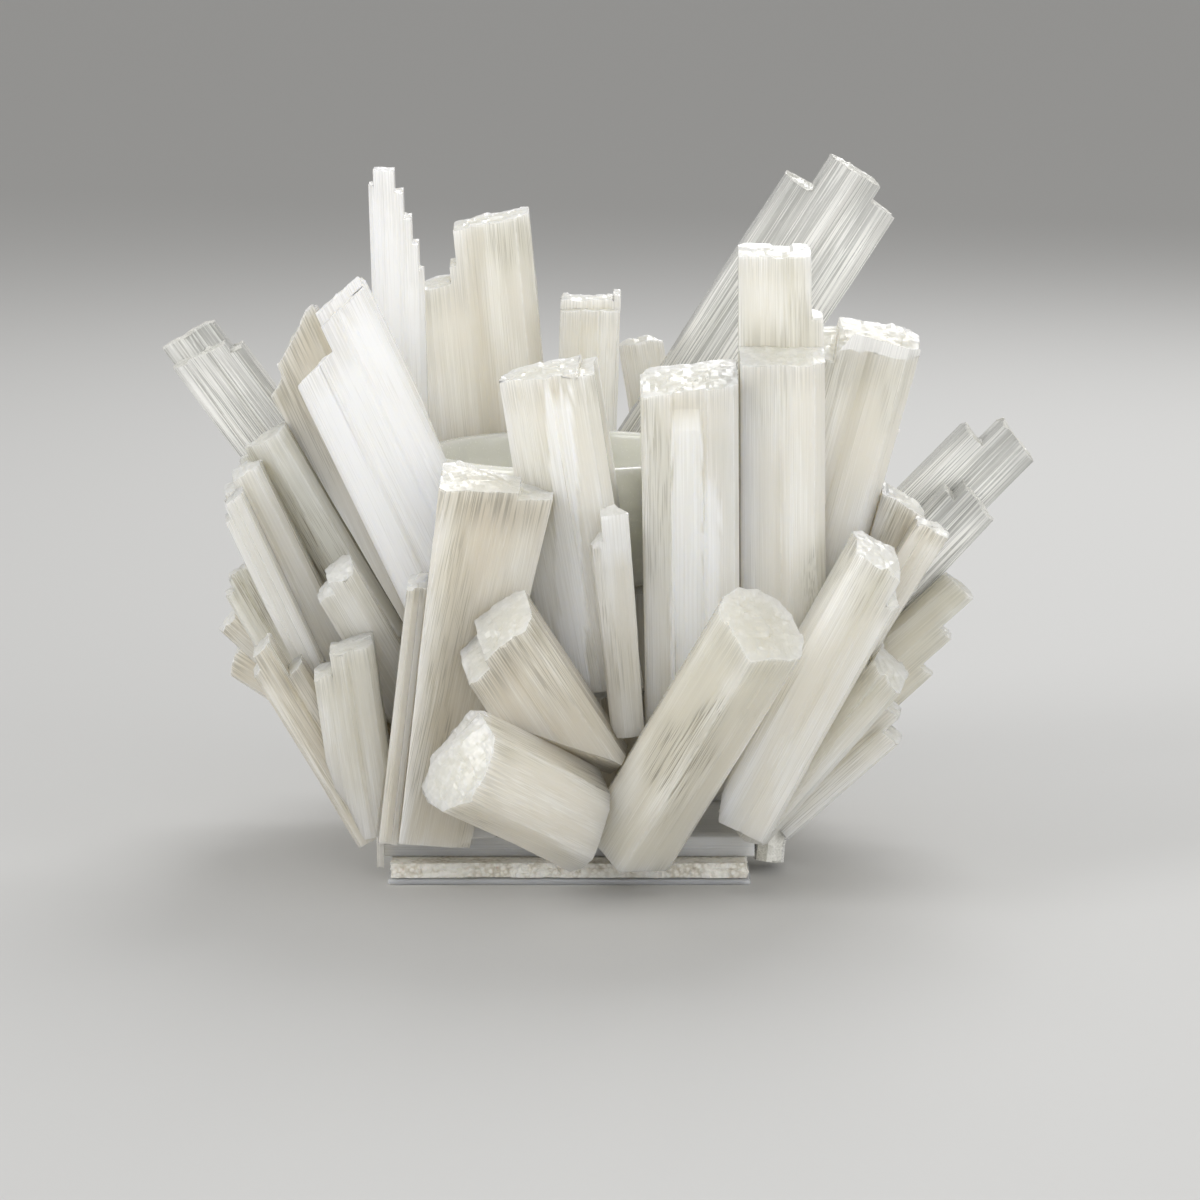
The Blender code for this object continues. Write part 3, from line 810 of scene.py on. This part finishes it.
    def build(self, workshop: Workshop) -> bpy.types.Object:
        """Builds the log's piece and puts it in place.

        Args:
            workshop: Where the finishes are kept.

        Returns:
            The piece.
        """
        bm = self.merged_copy()
        turn = self.grain_frame(bm).to_4x4()
        self.wear_edges(bm)
        bmesh.ops.transform(bm, matrix=turn.inverted(), verts=bm.verts[:])
        bm.normal_update()
        self.slice_along(bm, 0, self.strip)
        self.slice_along(bm, 1, self.strip)
        bm.normal_update()
        torn = self.tear_end(bm)
        self.slice_along(bm, 2, self.segment)
        bm.normal_update()
        self.split_sides(bm)
        self.write_looks(bm, torn)
        bmesh.ops.transform(bm, matrix=turn, verts=bm.verts[:])
        self.raise_sheen_flakes(bm)
        for vertex in bm.verts:
            vertex.co = Vector([min(max(own, low), high) for own, low, high in zip(vertex.co, *CAD_BOX)])
        bmesh.ops.triangulate(bm, faces=[face for face in bm.faces if len(face.verts) > 4])
        return workshop.place(f"log_{self.node}", bm, workshop.slots[self.node], (self.node,))


@dataclass
class SawnStone:
    """A sawn slab or block: flat faces with the fibres showing, and slightly chipped edges."""

    node: str
    fibre_axis: int
    pitch: float = 2.5
    chip: float = 0.8
    sunk: float = 0.12
    square_on: float = 0.9

    def build(self, workshop: Workshop) -> bpy.types.Object:
        """Builds the piece and puts it in place.

        Args:
            workshop: Where the finishes are kept.

        Returns:
            The piece.
        """
        log = SeleniteLog(self.node)
        bm = log.merged_copy()
        order = {0: (1, 2, 0), 1: (2, 0, 1), 2: (0, 1, 2)}[self.fibre_axis]
        for axis in order[:2]:
            log.slice_along(bm, axis, self.pitch)
        log.slice_along(bm, self.fibre_axis, 5 * self.pitch)
        bm.normal_update()
        grain = bm.verts.layers.float_vector.new(GRAIN)
        depth = bm.verts.layers.float.new(DEPTH)
        # The edge faces are marked for the finish's whitening: partly chipped stone, partly a painted edge
        # highlight.
        mark = bm.faces.layers.float.new(WORN_AND_GLINT)
        for face in bm.faces:
            if max(abs(part) for part in face.normal) < self.square_on:
                face[mark] = 1.0
        moves = []
        for vertex in bm.verts:
            own = vertex.co
            vertex[grain] = Vector((own[order[0]], own[order[1]], own[order[2]])) + log.shift
            edge = 1 - abs(vertex.normal[max(range(3), key=lambda n: abs(vertex.normal[n]))])
            vertex[depth] = 1.0
            worn = 0.5 + 0.5 * noise.noise(own / MM / 3 + log.shift)
            chipped = edge * 2.2 * self.chip * worn + self.sunk * worn
            moves.append((vertex, vertex.normal * -chipped * MM))
        for vertex, move in moves:
            vertex.co += move
        return workshop.place(f"sawn_{self.node}", bm, workshop.slots[self.node], (self.node,))


@dataclass
class CrushedBed:
    """The crushed selenite between the plate and the slab: an uneven rim of grains."""

    node: str = "chip_bed"
    pitch: float = 1.1
    grain_size: float = 1.7
    proud: float = 0.9
    side_facing: float = 0.9
    half_height: float = 3.0

    def build(self, workshop: Workshop) -> bpy.types.Object:
        """Builds the piece and puts it in place.

        Args:
            workshop: Where the finishes are kept.

        Returns:
            The piece.
        """
        log = SeleniteLog(self.node)
        bm = log.merged_copy()
        low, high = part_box(self.node)
        for axis in (0, 1, 2):
            way = axis_way(axis)
            for level in log.cuts(low[axis], high[axis], self.pitch):
                sides = [face for face in bm.faces if abs(face.normal.z) < self.side_facing]
                items = (item for face in sides for item in (*face.verts, *face.edges, face))
                near = list(dict.fromkeys(items))
                bmesh.ops.bisect_plane(bm, geom=near, dist=ON_PLANE, plane_co=way * level, plane_no=way)
        bm.normal_update()
        middle = sum(vertex.co.z for vertex in bm.verts) / len(bm.verts)
        for vertex in bm.verts:
            outward = Vector((vertex.normal.x, vertex.normal.y, 0))
            if outward.length < 0.2:
                continue
            at = vertex.co / MM / self.grain_size
            lump = noise.noise(at) * 0.8 + noise.cell(at * 1.3) * 0.5
            round_off = 1 - 0.6 * abs(vertex.co.z - middle) / (self.half_height * MM)
            vertex.co += outward.normalized() * lump * self.proud * round_off * MM
        bmesh.ops.triangulate(bm, faces=[face for face in bm.faces if len(face.verts) > 4])
        return workshop.place("crushed_bed", bm, workshop.slots[self.node], (self.node,))


@dataclass
class TurnedBowl:
    """The smooth stone bowl, turned from its section."""

    node: str = "inner_bowl"
    rim: float = 61.8
    foot: float = 47.0
    wall: float = 7.0
    height: float = 52.0
    floor: float = 8.0
    top: float = 169.0
    turns: int = 72

    def section(self) -> list[tuple[float, float]]:
        """Half of the section, from the middle of the underside to that of the inner floor.

        Returns:
            Radius and height of each point, in millimetres.
        """
        bottom = self.top - self.height
        inner = self.rim - self.wall
        base = bottom + self.floor
        return [
            (0, bottom), (0.6 * self.foot, bottom), (self.foot - 2, bottom), (self.foot + 1, bottom + 0.5),
            (self.foot + 4, bottom + 2.2), (self.rim - 5, bottom + 0.17 * self.height),
            (self.rim - 1, bottom + 0.45 * self.height), (self.rim - 0.2, self.top - 8),
            (self.rim, self.top - 2.2), (self.rim - 0.8, self.top - 0.5), (self.rim - 2, self.top),
            (inner + 2, self.top), (inner + 0.8, self.top - 0.5), (inner, self.top - 2.2),
            (inner - 0.4, self.top - 8), (0.97 * inner, base + 0.42 * self.height),
            (0.86 * inner, base + 0.16 * self.height), (0.6 * inner, base + 1.2),
            (0.3 * inner, base), (0, base),
        ]

    def build(self, workshop: Workshop) -> bpy.types.Object:
        """Builds the bowl and puts it in place.

        Args:
            workshop: Where the finishes are kept.

        Returns:
            The piece.
        """
        bm = bmesh.new()
        points = [bm.verts.new((radius * MM, 0, height * MM)) for radius, height in self.section()]
        runs = [bm.edges.new(pair) for pair in zip(points, points[1:])]
        bmesh.ops.spin(
            bm, geom=[*points, *runs], cent=(0, 0, 0), axis=(0, 0, 1), angle=math.tau, steps=self.turns,
            use_merge=True, use_duplicate=False,
        )
        bmesh.ops.remove_doubles(bm, verts=bm.verts[:], dist=SAME_POINT)
        bmesh.ops.recalc_face_normals(bm, faces=bm.faces[:])
        for face in bm.faces:
            face.smooth = True
        piece = workshop.place("turned_bowl", bm, workshop.slots[self.node], (self.node,))
        smooth = piece.modifiers.new("smooth", "SUBSURF")
        smooth.levels = 1
        smooth.render_levels = 1
        return piece


@dataclass
class Studio:
    """The floor, the lights and the camera. Lengths are in metres and the elevation in degrees."""

    target: Point = (0.0126, 0.0, 0.105)
    elevation: float = 10.0
    distance: float = 1.8
    half_view: float = 0.252
    floor_radius: float = 40.0
    sensor: float = 36.0
    world_colour: Colour = (0.86, 0.85, 0.83)
    world_strength: float = 0.54

    def lay_floor(self) -> None:
        """Lays a wide, plain floor."""
        bm = bmesh.new()
        bmesh.ops.create_circle(bm, cap_ends=True, radius=self.floor_radius, segments=64)
        mesh = bpy.data.meshes.new("floor")
        bm.to_mesh(mesh)
        bm.free()
        floor = bpy.data.objects.new("floor", mesh)
        mesh.materials.append(PlainFinish().material())
        bpy.context.scene.collection.objects.link(floor)

    def add_light(self, name: str, place: Point, size: float, watts: float) -> None:
        """Adds a soft square light that faces the object.

        Args:
            name: The light's name.
            place: Where it stands, in metres.
            size: Its side in metres.
            watts: Its power.
        """
        lamp = bpy.data.lights.new(name, "AREA")
        lamp.shape = "SQUARE"
        lamp.size = size
        lamp.energy = watts
        light = bpy.data.objects.new(name, lamp)
        light.location = place
        light.rotation_euler = (Vector(self.target) - Vector(place)).to_track_quat("-Z", "Y").to_euler()
        bpy.context.scene.collection.objects.link(light)

    def light_up(self) -> None:
        """Lights the object softly from three sides and all round."""
        self.add_light("key_left", (-1.6, -0.9, 1.2), 0.9, 17)
        self.add_light("front_soft", (0.3, -2.3, 0.55), 1.7, 16)
        self.add_light("fill_right", (1.6, -0.9, 0.7), 1.2, 9)
        self.add_light("back_top", (0.5, 1.5, 1.6), 1.2, 23)
        world = bpy.data.worlds.new("studio")
        world.use_nodes = True
        background = world.node_tree.nodes["Background"]
        background.inputs["Color"].default_value = (*self.world_colour, 1)
        background.inputs["Strength"].default_value = self.world_strength
        bpy.context.scene.world = world
        bpy.context.scene.view_settings.view_transform = "Standard"

    def set_camera(self) -> None:
        """Sets the camera at the photograph's viewing angle."""
        angle = math.radians(self.elevation)
        lens = bpy.data.cameras.new("camera")
        lens.sensor_width = self.sensor
        lens.lens = self.sensor * self.distance / (2 * self.half_view)
        camera = bpy.data.objects.new("camera", lens)
        away = Vector((0, -math.cos(angle), math.sin(angle)))
        camera.location = Vector(self.target) + self.distance * away
        camera.rotation_euler = (math.pi / 2 - angle, 0, 0)
        bpy.context.scene.collection.objects.link(camera)
        bpy.context.scene.camera = camera


def main() -> None:
    """Builds every piece, the floor, the lights and the camera."""
    logging.basicConfig(level=logging.INFO, format="%(name)s: %(message)s")
    workshop = Workshop()
    others = (
        TurnedBowl(),
        CrushedBed(),
        SawnStone("foot_plate", fibre_axis=0),
        SawnStone("foot_slab", fibre_axis=0),
        SawnStone("middle_block", fibre_axis=2, pitch=3.0),
    )
    special = {part.node: part for part in others}
    for node in sorted(frame["nodes"]):
        part = special.get(node) or SeleniteLog(node)
        part.build(workshop)
    studio = Studio()
    studio.lay_floor()
    studio.light_up()
    studio.set_camera()


if __name__ == "__main__":
    main()
